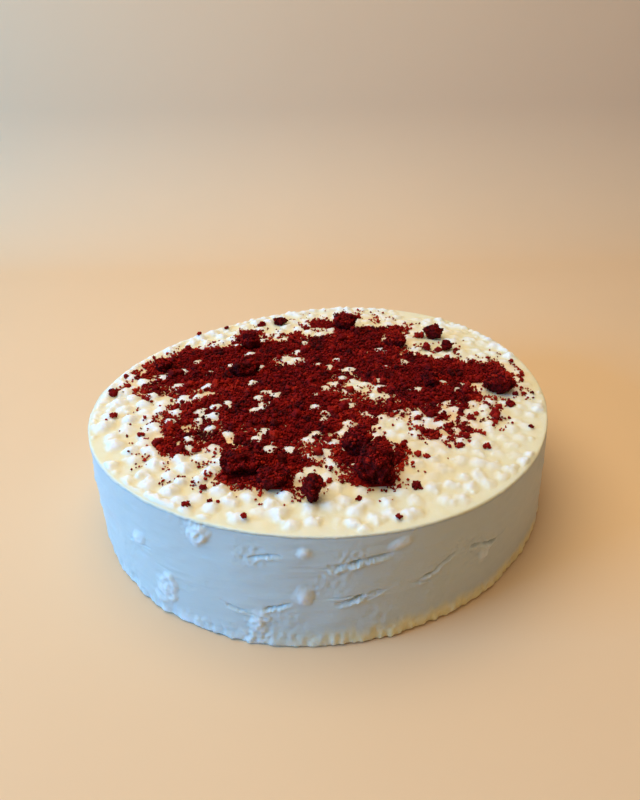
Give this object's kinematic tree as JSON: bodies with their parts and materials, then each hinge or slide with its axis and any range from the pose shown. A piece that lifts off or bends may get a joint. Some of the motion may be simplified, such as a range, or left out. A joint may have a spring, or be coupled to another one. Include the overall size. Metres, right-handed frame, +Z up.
{
  "type": "red velvet cake",
  "caption": "Round red velvet layer cake iced all over in cream frosting, with small cream peaks, a drift of red cake crumbs and larger crumb lumps on its flat top.",
  "frame": {"origin": "centre of the cake's footprint box, on the plane it stands on", "axes": "+Z up, -Y the front of the cake, +X to the right seen from the front"},
  "size_m": [0.268, 0.2694, 0.0789],
  "materials": {
    "cream_icing": "soft satin cream cheese frosting, spread by spatula, peaks paler than the hollows",
    "red_crumb": "dry matt red sponge crumbs",
    "crumb_lump": "moist dark red sponge, torn and porous"
  },
  "bodies": {
    "root": {"frosted_cake": "cream_icing", "crumb_bed": "red_crumb", "crumb_lump_01": "crumb_lump", "crumb_lump_02": "crumb_lump", "crumb_lump_03": "crumb_lump", "crumb_lump_04": "crumb_lump", "crumb_lump_05": "crumb_lump", "crumb_lump_06": "crumb_lump", "crumb_lump_07": "crumb_lump", "crumb_lump_08": "crumb_lump", "crumb_lump_09": "crumb_lump", "crumb_lump_10": "crumb_lump", "crumb_lump_11": "crumb_lump", "crumb_lump_12": "crumb_lump", "crumb_lump_13": "crumb_lump", "crumb_lump_14": "crumb_lump", "crumb_lump_15": "crumb_lump"}
  },
  "joints": []
}
